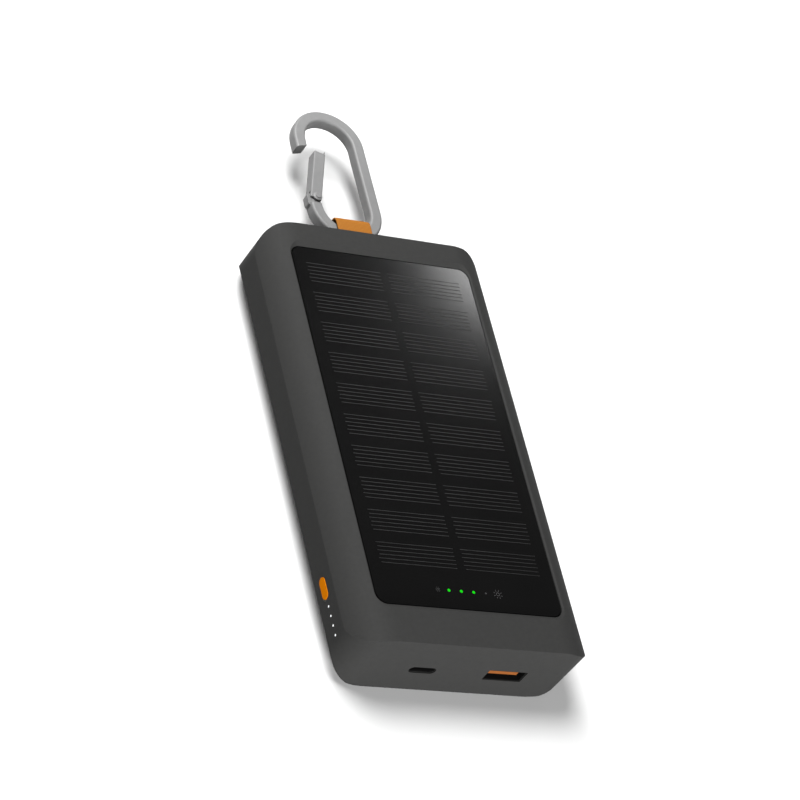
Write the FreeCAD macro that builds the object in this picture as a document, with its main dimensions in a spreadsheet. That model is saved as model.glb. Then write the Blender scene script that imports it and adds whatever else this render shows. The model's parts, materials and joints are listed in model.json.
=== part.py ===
"""Solar phone charger: a parametric FreeCAD model of every separate piece.

Millimetres. The charger lies on its back: the origin is the centre of the back face, +Z points out of
the solar panel and +Y towards the carabiner. The ports are in the -Y end and the button in the -X side.
"""

import FreeCAD, Part
import Sketcher
import math
import os
import re

from FreeCAD import Placement, Rotation, Vector

DOC = FreeCAD.newDocument("SolarPhoneCharger")
SHEET = DOC.addObject("Spreadsheet::Sheet", "Sizes")

SIZES = {
    # housing
    "body_width": 80.0,
    "body_length": 146.0,
    "body_height": 24.8,
    "wall": 2.0,
    "corner_radius": 8.5,
    "crown_half_flat": 27.2,
    "crown_drop": 7.65,
    "split_height": 7.65,
    "lip_height": 1.5,
    "lip_inset": 1.1,
    "lip_gap": 0.05,
    "boss_gap": 0.05,
    "post_side": 4.0,
    "post_shift": 20.0,
    "post_place": -48.0,
    # solar panel and its recess
    "panel_width": 62.3,
    "panel_length": 124.6,
    "panel_corner": 3.6,
    "panel_shift": 2.4,
    "panel_drop": 1.2,
    "panel_gap": 0.3,
    "rim_angle": 51.0,
    "window_thickness": 0.8,
    "cell_thickness": 0.25,
    "board_thickness": 1.0,
    "tape_thickness": 0.25,
    "tape_width": 4.0,
    "recess_floor": 1.5,
    "cell_width": 25.8,
    "cell_length": 9.9,
    "cell_pitch": 10.95,
    "cell_column": 14.1,
    "cell_first": 55.2,
    "wire_slot_width": 8.0,
    "wire_slot_length": 3.0,
    "wire_slot_place": -44.0,
    # charge indicators below the cells
    "indicator_row": -53.9,
    "indicator_pitch": 4.15,
    "indicator_radius": 0.48,
    "indicator_depth": 0.5,
    "lens_depth": 0.3,
    "chip_size": 0.6,
    # ports
    "usb_a_shift": 15.1,
    "usb_a_level": 10.5,
    "usb_a_width": 13.0,
    "usb_a_height": 5.2,
    "usb_a_depth": 14.0,
    "usb_c_shift": -12.7,
    "usb_c_level": 10.5,
    "usb_c_width": 8.8,
    "usb_c_height": 3.0,
    "usb_c_depth": 8.0,
    "usb_a_tongue_width": 10.0,
    "usb_a_tongue_thickness": 1.4,
    "usb_a_tongue_shift": -1.25,
    "usb_a_tongue_rise": 0.35,
    "port_lip": 0.4,
    "port_gap": 0.1,
    "usb_c_tongue_width": 6.7,
    "usb_c_tongue_thickness": 0.7,
    "shell_sheet": 0.3,
    # main board
    "main_top": 7.6,
    "main_thickness": 1.6,
    "main_half": 35.6,
    "main_front": -70.4,
    "main_back": -43.0,
    "board_corner": 9.0,
    "inductor_side": 7.0,
    "inductor_height": 3.6,
    "socket_place": -47.0,
    "socket_height": 4.0,
    "battery_socket": 24.0,
    "solar_socket": -19.0,
    # button and battery level lights in the -X wall
    "button_place": -49.2,
    "button_level": 12.1,
    "button_length": 6.9,
    "button_height": 2.9,
    "button_proud": 0.2,
    "button_gap": 0.08,
    "flange_edge": 0.9,
    "flange_thickness": 0.8,
    "plunger_radius": 1.2,
    "switch_width": 4.4,
    "switch_length": 6.2,
    "guide_depth": 3.2,
    "level_first": -55.2,
    "level_pitch": 3.11,
    "level_height": 12.3,
    "level_radius": 0.32,
    # battery
    "cell_pack_width": 58.0,
    "cell_pack_length": 100.0,
    "cell_pack_height": 7.4,
    "cell_pack_middle": 12.0,
    "cell_pack_floor": 2.4,
    "pad_thickness": 0.3,
    "pad_width": 40.0,
    "pad_length": 16.0,
    "tab_shift": 9.0,
    "tab_width": 6.0,
    "guard_width": 34.0,
    "guard_height": 12.0,
    "guard_shift": 2.3,
    "battery_lead_radius": 0.7,
    "battery_lead_level": 13.0,
    "solar_lead_radius": 0.5,
    "solar_lead_level": 15.7,
    "lead_spacing": 1.2,
    "lead_bend": 0.9,
    # fasteners
    "screw_side": 27.5,
    "screw_low": -65.0,
    "screw_high": 66.0,
    "screw_radius": 1.1,
    "screw_head_radius": 2.2,
    "screw_head_height": 1.5,
    "screw_reach": 14.0,
    "screw_slot": 0.6,
    "boss_radius": 3.0,
    "plug_height": 0.9,
    # strap and its anchor
    "mid_level": 12.4,
    "strap_shift": -0.3,
    "strap_width": 12.2,
    "strap_sheet": 1.2,
    "strap_hinge": 75.9,
    "strap_top": 86.35,
    "strap_shoulder": 77.4,
    "anchor_place": 66.5,
    "anchor_radius": 1.3,
    "anchor_length": 21.0,
    "ear_width": 2.0,
    "ear_length": 7.0,
    "ear_drop": 3.0,
    # carabiner
    "ring_shift": -0.4,
    "ring_start": 78.3,
    "ring_width": 25.0,
    "ring_length": 51.1,
    "ring_bar": 4.0,
    "ring_thickness": 4.3,
    "ring_edge": 0.85,
    "gate_pivot": 94.0,
    "gate_reach": 18.87,
    "gate_tail": 1.0,
    "gate_width": 3.9,
    "gate_lead": 0.37,
    "gate_edge": 0.45,
    "gate_tip": 1.0,
    "tooth_width": 0.85,
    "tooth_height": 1.8,
    "web_start": 1.6,
    "gate_sheet": 0.75,
    "gate_open": 16.6,
    "nose_slope": 1.2,
    "nose_notch": 0.4,
    "knuckle_width": 2.5,
    "knuckle_length": 4.6,
    "tongue_thickness": 2.6,
    "rivet_radius": 0.9,
    "rivet_head": 1.45,
    "rivet_dome": 0.35,
    "spring_radius": 0.75,
    "spring_wire": 0.18,
    "spring_pitch": 0.75,
    "spring_length": 9.0,
}


def fill_sheet():
    """Writes each driving size to the sheet, with its name as the alias."""
    for row, (name, size) in enumerate(SIZES.items(), start=1):
        SHEET.set(f"A{row}", name)
        SHEET.set(f"B{row}", str(size))
        SHEET.setAlias(f"B{row}", name)
    DOC.recompute()


def cells(formula):
    """The formula with each size's name pointed at its cell in the sheet."""
    names = re.findall(r"[a-z_]+", formula)
    for name in sorted(set(names) & set(SIZES), key=len, reverse=True):
        formula = re.sub(rf"(?<![a-z_.]){name}(?![a-z_])", f"Sizes.{name}", formula)
    return formula


def number(formula):
    """The value that a formula has now."""
    result = SHEET.evalExpression(cells(formula))
    return float(getattr(result, "Value", result))


def bind(item, **formulas):
    """Binds properties of an object to formulas; place_x, place_y and place_z set its Placement."""
    for key, formula in formulas.items():
        path = f".Placement.Base.{key[-1]}" if key.startswith("place_") else key
        item.setExpression(path, cells(formula))
    return item


def place(item, at, turn=None):
    """Turns an object, then binds its position to three formulas."""
    if turn is not None:
        item.Placement = Placement(Vector(), turn)
    return bind(item, place_x=at[0], place_y=at[1], place_z=at[2])


def box(name, size, middle, low):
    """A box with its X and Y middle and its lowest Z given."""
    item = DOC.addObject("Part::Box", name)
    bind(item, Length=size[0], Width=size[1], Height=size[2])
    at = (f"{middle[0]} - ({size[0]}) / 2", f"{middle[1]} - ({size[1]}) / 2", low)
    return place(item, at)


TURN = {
    "X": Rotation(Vector(0, 1, 0), 90),
    "-X": Rotation(Vector(0, 1, 0), -90),
    "Y": Rotation(Vector(1, 0, 0), -90),
    "Z": Rotation(),
}


def rod(name, radius, length, at, axis="Z"):
    """A cylinder that starts at a point and runs along an axis."""
    item = DOC.addObject("Part::Cylinder", name)
    bind(item, Radius=radius, Height=length)
    return place(item, at, TURN[axis])


def cut(name, base, *tools):
    """The base with the tools taken away."""
    item = DOC.addObject("Part::Cut", name)
    item.Base = base
    item.Tool = tools[0] if len(tools) == 1 else fuse(name + "_tools", *tools)
    return item


def fuse(name, *pieces):
    """Several shapes as one."""
    item = DOC.addObject("Part::MultiFuse", name)
    item.Shapes = list(pieces)
    item.Refine = True
    return item


def group(name, *pieces):
    """Separate solids kept as one sub-part."""
    item = DOC.addObject("Part::Compound", name)
    item.Links = list(pieces)
    return item


def origin_plane(body, role):
    """One of a body's own origin planes."""
    return next(plane for plane in body.Origin.OriginFeatures if plane.Role == role)


def new_sketch(body, name, role="XY_Plane"):
    """A sketch on one of the body's origin planes."""
    sketch = body.newObject("Sketcher::SketchObject", name)
    sketch.AttachmentSupport = [(origin_plane(body, role), "")]
    sketch.MapMode = "FlatFace"
    return sketch


def constrain(sketch, name, formula, *args):
    """A named dimension whose value comes from a formula."""
    index = sketch.addConstraint(Sketcher.Constraint(*args, number(formula)))
    sketch.renameConstraint(index, name)
    sketch.setExpression(f"Constraints.{name}", cells(formula))


def rounded_outline(sketch, tag, width, height, radius):
    """Draws a rounded rectangle centred on the sketch's origin, fully constrained."""
    half_w = number(width) / 2
    half_h = number(height) / 2
    r = number(radius)
    first = sketch.GeometryCount
    corners = [(1, 1, 0), (-1, 1, 90), (-1, -1, 180), (1, -1, 270)]
    for sign_x, sign_y, start in corners:
        centre = Vector(sign_x * (half_w - r), sign_y * (half_h - r), 0)
        circle = Part.Circle(centre, Vector(0, 0, 1), r)
        sketch.addGeometry(Part.ArcOfCircle(circle, math.radians(start), math.radians(start + 90)))
    for index in range(4):
        here = sketch.Geometry[first + index].EndPoint
        there = sketch.Geometry[first + (index + 1) % 4].StartPoint
        sketch.addGeometry(Part.LineSegment(here, there))
    for index in range(4):
        line = first + 4 + index
        following = first + (index + 1) % 4
        sketch.addConstraint(Sketcher.Constraint("Tangent", first + index, 2, line, 1))
        sketch.addConstraint(Sketcher.Constraint("Tangent", line, 2, following, 1))
    for index in range(3):
        sketch.addConstraint(Sketcher.Constraint("Equal", first + index, first + index + 1))
    sketch.addConstraint(Sketcher.Constraint("Horizontal", first + 4))
    sketch.addConstraint(Sketcher.Constraint("Symmetric", first, 3, first + 2, 3, -1, 1))
    constrain(sketch, tag + "_radius", radius, "Radius", first)
    constrain(sketch, tag + "_width", f"{width} - 2 * ({radius})", "DistanceX", first + 1, 3, first, 3)
    constrain(sketch, tag + "_height", f"{height} - 2 * ({radius})", "DistanceY", first + 2, 3, first + 1, 3)


def prism(name, width, height, radius, length, at, turn="Z", flare=None, hole=None):
    """A rounded rectangle padded along its own Z, with an optional sloping side or a matching hole."""
    body = DOC.addObject("PartDesign::Body", name)
    sketch = new_sketch(body, name + "_outline")
    rounded_outline(sketch, "outer", width, height, radius)
    if hole is not None:
        rounded_outline(sketch, "inner", *hole)
    pad = body.newObject("PartDesign::Pad", name + "_pad")
    pad.Profile = sketch
    bind(pad, Length=length)
    if flare is not None:
        bind(pad, TaperAngle=flare)
    return place(body, at, TURN[turn])


def label(item, name):
    """Gives a finished sub-part the name of its file."""
    item.Label = name
    PARTS.append(item)
    return item


PARTS = []
LID = "body_height"
CROWN_RADIUS = "((body_width / 2 - crown_half_flat)^2 + crown_drop^2) / (2 * crown_drop)"


def crowned_block(name, inset, low, high):
    """The housing's form, drawn in by an inset: rounded in plan, with four crowned long edges."""
    plan = prism(
        name + "_plan",
        f"body_width - 2 * ({inset})",
        f"body_length - 2 * ({inset})",
        f"corner_radius - ({inset})",
        f"{high} - ({low})",
        ("0", "0", low),
    )
    cutters = []
    for side, side_name in ((-1, "left"), (1, "right")):
        for level, level_name in ((CROWN_RADIUS, "rear"), (f"{LID} - {CROWN_RADIUS}", "front")):
            tag = f"{name}_{side_name}_{level_name}"
            length = "body_length + 2"
            corner_low = level if level_name == "front" else "-1"
            corner = box(
                tag + "_corner",
                (CROWN_RADIUS, length, f"{CROWN_RADIUS} + 1"),
                (f"{side} * (crown_half_flat + ({CROWN_RADIUS}) / 2)", "0"),
                corner_low,
            )
            round_at = (f"{side} * crown_half_flat", f"-({length}) / 2", level)
            barrel = rod(tag + "_barrel", f"{CROWN_RADIUS} - ({inset})", length, round_at, "Y")
            cutters.append(cut(tag, corner, barrel))
    return cut(name, plan, *cutters)


def screw_places():
    """Where the four case screws stand."""
    for side in (-1, 1):
        for end in ("screw_low", "screw_high"):
            yield f"{side} * screw_side", end


RECESS_LOW = f"{LID} - panel_drop - window_thickness - cell_thickness - board_thickness - tape_thickness"
CEILING = f"{RECESS_LOW} - recess_floor"
PANEL_TOP = f"{LID} - panel_drop"
WINDOW_LOW = f"{PANEL_TOP} - window_thickness"
BOARD_LOW = "main_top - main_thickness"
LEFT_WALL = "-body_width / 2"
PORT_WALL = "-body_length / 2"
PORT_INSIDE = f"{PORT_WALL} + port_lip"


def make_front_cover():
    """The upper shell: side walls, end walls with the openings, the panel recess and the screw bosses."""
    rebate_top = "split_height + lip_height + 0.1"
    outer = crowned_block("front_outer", "0", "split_height", LID)
    hollow = crowned_block("front_hollow", "wall", "split_height - 1", CEILING)
    rebate = crowned_block("front_rebate", "lip_inset - lip_gap", "split_height - 1", rebate_top)
    shell = cut("front_shell", outer, hollow, rebate)
    bosses = []
    for index, (x, y) in enumerate(screw_places()):
        start = "split_height + boss_gap"
        height = f"{CEILING} - ({start}) + 0.5"
        bosses.append(rod(f"front_boss_{index}", "boss_radius", height, (x, y, start)))
    ears = []
    for side in (-1, 1):
        low = "mid_level - ear_drop"
        size = ("ear_width", "ear_length", f"{CEILING} - ({low}) + 0.5")
        middle = (f"strap_shift + {side} * (strap_width / 2 + 2.6)", "anchor_place + 0.4")
        ears.append(box(f"anchor_ear_{side + 1}", size, middle, low))
    solid = fuse("front_solid", shell, *bosses, *ears)
    openings = panel_openings() + end_openings() + side_openings()
    return label(cut("front_cover_shape", solid, *openings), "front_cover")


def panel_openings():
    """The recess that the panel lies in, its sloping rim, the slot for its leads and the screws' pilots."""
    width = "panel_width + 2 * panel_gap"
    length = "panel_length + 2 * panel_gap"
    at = ("0", "panel_shift")
    outline = (width, length, "panel_corner")
    recess = prism("recess", *outline, "6", (*at, RECESS_LOW))
    rim = prism("recess_rim", *outline, "panel_drop + 0.6", (*at, PANEL_TOP), flare="rim_angle")
    slot_size = ("wire_slot_width", "wire_slot_length", "6")
    wire_slot = box("panel_wire_slot", slot_size, ("0", "wire_slot_place"), f"{RECESS_LOW} - 4")
    pilots = []
    for index, (x, y) in enumerate(screw_places()):
        at = (x, y, "split_height - 1")
        pilots.append(rod(f"pilot_{index}", "screw_radius + 0.05", "screw_reach", at))
    return [recess, rim, wire_slot, *pilots]


def end_openings():
    """The two port openings, the strap's slot and the bore for its anchor pin."""
    low = f"{PORT_WALL} - 1"
    depth = "wall + 2"
    pocket_low = f"{PORT_INSIDE} - 0.02"
    usb_a_at = ("usb_a_shift", low, "usb_a_level")
    usb_a = prism("usb_a_opening", "usb_a_width", "usb_a_height", "0.5", depth, usb_a_at, "Y")
    usb_a_pocket = ("usb_a_width + 0.2 + port_gap", "usb_a_height + 0.5 + port_gap", "0.5", depth)
    usb_a_seat = prism("usb_a_seat", *usb_a_pocket, ("usb_a_shift", pocket_low, "usb_a_level"), "Y")
    usb_c_at = ("usb_c_shift", low, "usb_c_level")
    usb_c_radius = "usb_c_height / 2 - 0.01"
    usb_c = prism("usb_c_opening", "usb_c_width", "usb_c_height", usb_c_radius, depth, usb_c_at, "Y")
    usb_c_pocket = ("usb_c_width + 0.2 + port_gap", "usb_c_height + 0.2 + port_gap")
    usb_c_seat_at = ("usb_c_shift", pocket_low, "usb_c_level")
    usb_c_seat = prism("usb_c_seat", *usb_c_pocket, "usb_c_height / 2", depth, usb_c_seat_at, "Y")
    slot_at = ("strap_shift", "body_length / 2 - wall - 1", "mid_level")
    slot_size = ("strap_width + 0.6", "2 * strap_sheet + 0.5", "0.8", depth)
    strap_slot = prism("strap_slot", *slot_size, slot_at, "Y")
    pin_length = "anchor_length + 0.2"
    pin_at = (f"strap_shift - ({pin_length}) / 2", "anchor_place", "mid_level")
    pin_hole = rod("anchor_hole", "anchor_radius + 0.05", pin_length, pin_at, "X")
    return [usb_a, usb_a_seat, usb_c, usb_c_seat, strap_slot, pin_hole]


def side_openings():
    """The button's opening and the four small holes for the level lights."""
    start = f"{LEFT_WALL} - 1"
    depth = "wall + 2"
    width = "button_height + 2 * button_gap"
    length = "button_length + 2 * button_gap"
    radius = "button_height / 2 + button_gap - 0.01"
    button_at = (start, "button_place", "button_level")
    button_hole = prism("button_hole", width, length, radius, depth, button_at, "X")
    lights = []
    for index in range(4):
        at = (start, level_row(index), "level_height")
        lights.append(rod(f"level_hole_{index}", "level_radius + 0.03", depth, at, "X"))
    return [button_hole, *lights]


def level_row(index):
    """Where a battery level light stands along the side."""
    return f"level_first - {index} * level_pitch"


def make_rear_cover():
    """The lower shell: the back, its lip inside the upper shell, and the bosses that take the screws."""
    outer = crowned_block("rear_outer", "0", "0", "split_height")
    hollow = crowned_block("rear_hollow", "wall", "wall", "split_height + lip_height + 2")
    shell = cut("rear_shell", outer, hollow)
    lip_block = crowned_block("lip_block", "lip_inset", "split_height - 1", "split_height + lip_height")
    lip = cut("lip_ring", lip_block, hollow)
    bosses = []
    holes = []
    for index, (x, y) in enumerate(screw_places()):
        at = (x, y, "wall / 2")
        bosses.append(rod(f"rear_boss_{index}", "boss_radius", "split_height - wall / 2", at))
        holes.append(rod(f"screw_way_{index}", "screw_radius + 0.2", "split_height + 2", (x, y, "-1")))
        sink = "plug_height + screw_head_height + 1"
        holes.append(rod(f"head_sink_{index}", "screw_head_radius + 0.1", sink, (x, y, "-1")))
    posts = []
    for side in (-1, 1):
        middle = (f"{side} * post_shift", "post_place")
        size = ("post_side", "post_side", f"{BOARD_LOW} - wall / 2")
        posts.append(box(f"board_post_{side + 1}", size, middle, "wall / 2"))
    for port in ("usb_a", "usb_c"):
        size = (f"{port}_width + 0.8", "wall", "lip_height + 2")
        middle = (f"{port}_shift", f"{PORT_WALL} + wall / 2")
        holes.append(box(f"{port}_lip_notch", size, middle, "split_height"))
    solid = fuse("rear_solid", shell, lip, *bosses, *posts)
    return label(cut("rear_cover_shape", solid, *holes), "rear_cover")


def make_fasteners():
    """Four case screws, and the rubber plugs that hide their heads."""
    screws = []
    plugs = []
    slot_low = "plug_height - 0.1"
    long_side = "2 * screw_radius"
    for index, (x, y) in enumerate(screw_places()):
        head = rod(f"screw_head_{index}", "screw_head_radius", "screw_head_height", (x, y, "plug_height"))
        shank_low = "plug_height + screw_head_height - 0.1"
        shank = rod(f"screw_shank_{index}", "screw_radius", "screw_reach", (x, y, shank_low))
        drive = box(f"screw_slot_{index}", (long_side, "screw_slot", "screw_slot"), (x, y), slot_low)
        cross = box(f"screw_cross_{index}", ("screw_slot", long_side, "screw_slot"), (x, y), slot_low)
        screws.append(cut(f"screw_{index}", fuse(f"screw_blank_{index}", head, shank), drive, cross))
        plugs.append(rod(f"plug_{index}", "screw_head_radius + 0.05", "plug_height - 0.05", (x, y, "0")))
    label(group("case_screw_set", *screws), "case_screws")
    label(group("screw_plug_set", *plugs), "screw_plugs")


def make_panel():
    """The solar panel: printed window, twenty cells, backing board and the tape that holds it."""
    make_indicators()
    cell_low = f"{WINDOW_LOW} - cell_thickness"
    cell_size = ("cell_width", "cell_length", "cell_thickness")
    cell_solids = []
    for column in (-1, 1):
        for row in range(10):
            middle = (f"{column} * cell_column", f"cell_first - {row} * cell_pitch")
            cell_solids.append(box(f"cell_{column + 1}_{row}", cell_size, middle, cell_low))
    label(group("cell_set", *cell_solids), "solar_cells")
    outline = ("panel_width", "panel_length", "panel_corner - 0.1")
    board_at = ("0", "panel_shift", f"{RECESS_LOW} + tape_thickness")
    label(prism("panel_board", *outline, "board_thickness", board_at), "solar_backing_board")
    frame_hole = ("panel_width - 2 * tape_width", "panel_length - 2 * tape_width", "1")
    frame = ("panel_width - 1", "panel_length - 1", "panel_corner - 0.6", "tape_thickness")
    tape = prism("tape_frame", *frame, ("0", "panel_shift", RECESS_LOW), hole=frame_hole)
    label(tape, "panel_tape")


def make_indicators():
    """The printed window with its four small lenses, and the LED chip behind each one."""
    outline = ("panel_width", "panel_length", "panel_corner - 0.1")
    plate = prism("window_plate", *outline, "window_thickness", ("0", "panel_shift", WINDOW_LOW))
    chip_low = f"{WINDOW_LOW} - cell_thickness"
    chip_box = ("chip_size", "chip_size", "indicator_depth")
    holes = []
    lenses = []
    chips = []
    for index in range(4):
        x = f"({index} - 1.5) * indicator_pitch"
        hole_at = (x, "indicator_row", f"{PANEL_TOP} - 1.5")
        lens_at = (x, "indicator_row", f"{PANEL_TOP} - lens_depth")
        holes.append(rod(f"indicator_hole_{index}", "indicator_radius + 0.01", "2", hole_at))
        lenses.append(rod(f"indicator_lens_{index}", "indicator_radius", "lens_depth", lens_at))
        chips.append(box(f"indicator_chip_{index}", chip_box, (x, "indicator_row"), chip_low))
    label(cut("window_shape", plate, *holes), "solar_window")
    label(group("lens_set", *lenses), "indicator_lenses")
    label(group("chip_set", *chips), "indicator_leds")


def make_usb_a():
    """The USB-A receptacle: a folded steel shell with its plastic tongue."""
    outline = ("usb_a_width + 0.2", "usb_a_height + 0.5", "0.5")
    bore = ("usb_a_width - 0.4", "usb_a_height - 0.1", "0.2")
    at = ("usb_a_shift", PORT_INSIDE, "usb_a_level")
    tube = prism("usb_a_tube", *outline, "usb_a_depth", at, "Y", hole=bore)
    back_at = ("usb_a_shift", f"{PORT_INSIDE} + usb_a_depth - shell_sheet", "usb_a_level")
    back = prism("usb_a_back", *outline, "shell_sheet", back_at, "Y")
    label(fuse("usb_a_shell_shape", tube, back), "usb_a_shell")
    length = "usb_a_depth - shell_sheet - 0.05"
    middle = ("usb_a_shift + usb_a_tongue_shift", f"{PORT_INSIDE} + 0.05 + ({length}) / 2")
    size = ("usb_a_tongue_width", length, "usb_a_tongue_thickness")
    label(box("usb_a_tongue_shape", size, middle, "usb_a_level + usb_a_tongue_rise"), "usb_a_tongue")


def make_usb_c():
    """The USB-C receptacle: a drawn steel shell on four feet, with its thin tongue."""
    outline = ("usb_c_width + 0.2", "usb_c_height + 0.2", "usb_c_height / 2 + 0.08")
    bore = ("usb_c_width - 0.4", "usb_c_height - 0.4", "usb_c_height / 2 - 0.22")
    at = ("usb_c_shift", PORT_INSIDE, "usb_c_level")
    tube = prism("usb_c_tube", *outline, "usb_c_depth", at, "Y", hole=bore)
    back_at = ("usb_c_shift", f"{PORT_INSIDE} + usb_c_depth - shell_sheet", "usb_c_level")
    back = prism("usb_c_back", *outline, "shell_sheet", back_at, "Y")
    foot_size = ("0.4", "1.2", "usb_c_level - main_top")
    feet = []
    for side in (-1, 1):
        for index, step in enumerate((2.2, 6.2)):
            middle = (f"usb_c_shift + {side} * (usb_c_width / 2 - 0.1)", f"{PORT_INSIDE} + {step}")
            feet.append(box(f"usb_c_foot_{side + 1}_{index}", foot_size, middle, "main_top"))
    label(fuse("usb_c_shell_shape", tube, back, *feet), "usb_c_shell")
    length = "usb_c_depth - shell_sheet - 0.9"
    tongue_middle = ("usb_c_shift", f"{PORT_INSIDE} + 0.9 + ({length}) / 2")
    size = ("usb_c_tongue_width", length, "usb_c_tongue_thickness")
    tongue = box("usb_c_tongue_shape", size, tongue_middle, "usb_c_level - usb_c_tongue_thickness / 2")
    label(tongue, "usb_c_tongue")


def make_main_board():
    """The main board with its power parts, in the port end."""
    middle = ("0", "(main_back + main_front) / 2")
    size = ("2 * main_half", "main_back - main_front", "main_thickness")
    plate = box("main_plate", size, middle, BOARD_LOW)
    deep = "main_thickness + 2"
    ways = []
    corners = []
    for side in (-1, 1):
        at = (f"{side} * screw_side", "screw_low", f"{BOARD_LOW} - 1")
        ways.append(rod(f"board_way_{side + 1}", "boss_radius + 0.3", deep, at))
        corner = (f"{side} * main_half", "main_front")
        corner_size = ("board_corner", "board_corner", deep)
        corners.append(box(f"board_corner_{side + 1}", corner_size, corner, at[2]))
    label(cut("main_board_shape", plate, *ways, *corners), "main_board")
    block = ("inductor_side", "inductor_side", "1.2", "inductor_height")
    label(prism("inductor_block", *block, ("2", "-49.5", "main_top")), "power_inductor")
    label(box("charge_chip", ("5", "5", "0.9"), ("-11", "-52"), "main_top"), "charge_controller")
    label(box("boost_chip", ("4", "4", "0.9"), ("12", "-50"), "main_top"), "boost_controller")
    caps = []
    for index, x in enumerate((-3, 2, 7)):
        caps.append(box(f"capacitor_{index}", ("3.2", "2.5", "2.4"), (f"{x}", "-54.5"), "main_top"))
    label(group("capacitor_set", *caps), "board_capacitors")
    sockets = []
    for x in ("solar_socket", "battery_socket"):
        sockets.append(box(f"{x}_block", ("6", "4.5", "socket_height"), (x, "socket_place"), "main_top"))
    label(group("lead_socket_set", *sockets), "lead_sockets")


def make_button():
    """The side button with the plunger and the case of the switch behind it."""
    at = ("button_place", "button_level")
    face = ("button_height", "button_length", "button_height / 2 - 0.01")
    cap = prism("button_cap", *face, "wall + button_proud + 0.3", (f"{LEFT_WALL} - button_proud", *at), "X")
    flange = ("button_height + 2 * flange_edge", "button_length + 2 * flange_edge")
    flange_radius = "button_height / 2 + flange_edge - 0.02"
    rim_at = (f"{LEFT_WALL} + wall + 0.1", *at)
    rim = prism("button_rim", *flange, flange_radius, "flange_thickness", rim_at, "X")
    label(fuse("button_shape", cap, rim), "power_button")
    plunger_at = (f"{LEFT_WALL} + wall + 0.1 + flange_thickness", *at)
    label(rod("plunger_rod", "plunger_radius", "2.6", plunger_at, "X"), "switch_plunger")
    case_left = f"{LEFT_WALL} + wall + 2.2"
    case_size = ("switch_width", "switch_length", "button_level + 2.4 - main_top")
    case = box("switch_block", case_size, (f"{case_left} + switch_width / 2", "button_place"), "main_top")
    bore = rod("switch_bore", "plunger_radius + 0.05", "3.2", (f"{case_left} - 1", *at), "X")
    label(cut("switch_shape", case, bore), "switch_case")


def make_level_lights():
    """One clear guide whose four pins end in the side wall, and an LED chip under each pin."""
    left = f"{LEFT_WALL} + wall + 0.3"
    low = "main_top + 1"
    bar_size = ("guide_depth", "3 * level_pitch + 2.2", f"level_height + 1 - ({low})")
    bar = box("guide_bar", bar_size, (f"{left} + guide_depth / 2", level_row(1.5)), low)
    pins = []
    chips = []
    for index in range(4):
        y = level_row(index)
        pin_at = (LEFT_WALL, y, "level_height")
        pins.append(rod(f"guide_pin_{index}", "level_radius", "wall + 0.8", pin_at, "X"))
        chips.append(box(f"level_chip_{index}", ("1.2", "1.6", "0.7"), (f"{left} + 2.3", y), "main_top"))
    label(fuse("guide_shape", bar, *pins), "level_light_guide")
    label(group("level_chip_set", *chips), "level_leds")


def make_battery():
    """Two pouch cells with tape under and between them, tabs and a protection board."""
    lower = "cell_pack_floor"
    upper = "cell_pack_floor + cell_pack_height + pad_thickness"
    size = ("cell_pack_width", "cell_pack_length", "2.2", "cell_pack_height")
    label(prism("pouch_low", *size, ("0", "cell_pack_middle", lower)), "battery_cell_lower")
    label(prism("pouch_high", *size, ("0", "cell_pack_middle", upper)), "battery_cell_upper")
    layers = (("wall", "cell_pack_floor - wall"), ("cell_pack_floor + cell_pack_height", "pad_thickness"))
    pads = []
    for index, (low, thickness) in enumerate(layers):
        for end in (-1, 1):
            middle = ("0", f"cell_pack_middle + {end} * cell_pack_length / 3")
            pads.append(box(f"pad_{index}_{end + 1}", ("pad_width", "pad_length", thickness), middle, low))
    label(group("pad_set", *pads), "battery_pads")
    tab_end = "cell_pack_middle - cell_pack_length / 2"
    tabs = []
    for index, level in enumerate((lower, upper)):
        for side in (-1, 1):
            middle = (f"{side} * tab_shift", f"{tab_end} - 0.9")
            tab_size = ("tab_width", "1.8", "0.2")
            tabs.append(box(f"tab_{index}_{side + 1}", tab_size, middle, f"{level} + 3.6"))
    label(group("tab_set", *tabs), "battery_tabs")
    guard_middle = ("0", f"{tab_end} - guard_shift")
    label(box("guard_plate", ("guard_width", "1", "guard_height"), guard_middle, "3.5"), "protection_board")


def lead(name, points, radius, bend):
    """An insulated lead: straight runs joined by tangent arcs, swept by a round section."""
    edges = []
    here = points[0]
    for before, corner, after in zip(points, points[1:], points[2:]):
        back = (before - corner).normalize()
        on = (after - corner).normalize()
        half = (math.pi - back.getAngle(on)) / 2
        reach = bend * math.tan(half)
        start = corner + back * reach
        end = corner + on * reach
        inward = (back + on).normalize()
        middle = corner + inward * (bend / math.cos(half) - bend)
        edges.append(Part.LineSegment(here, start).toShape())
        edges.append(Part.Arc(start, middle, end).toShape())
        here = end
    edges.append(Part.LineSegment(here, points[-1]).toShape())
    path = Part.Wire(edges)
    direction = (points[1] - points[0]).normalize()
    ring = Part.Wire(Part.makeCircle(radius, points[0], direction))
    item = DOC.addObject("Part::Feature", name + "_run")
    item.Shape = path.makePipeShell([ring], True, False)
    item.Placement = Placement()
    return label(item, name)


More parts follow.
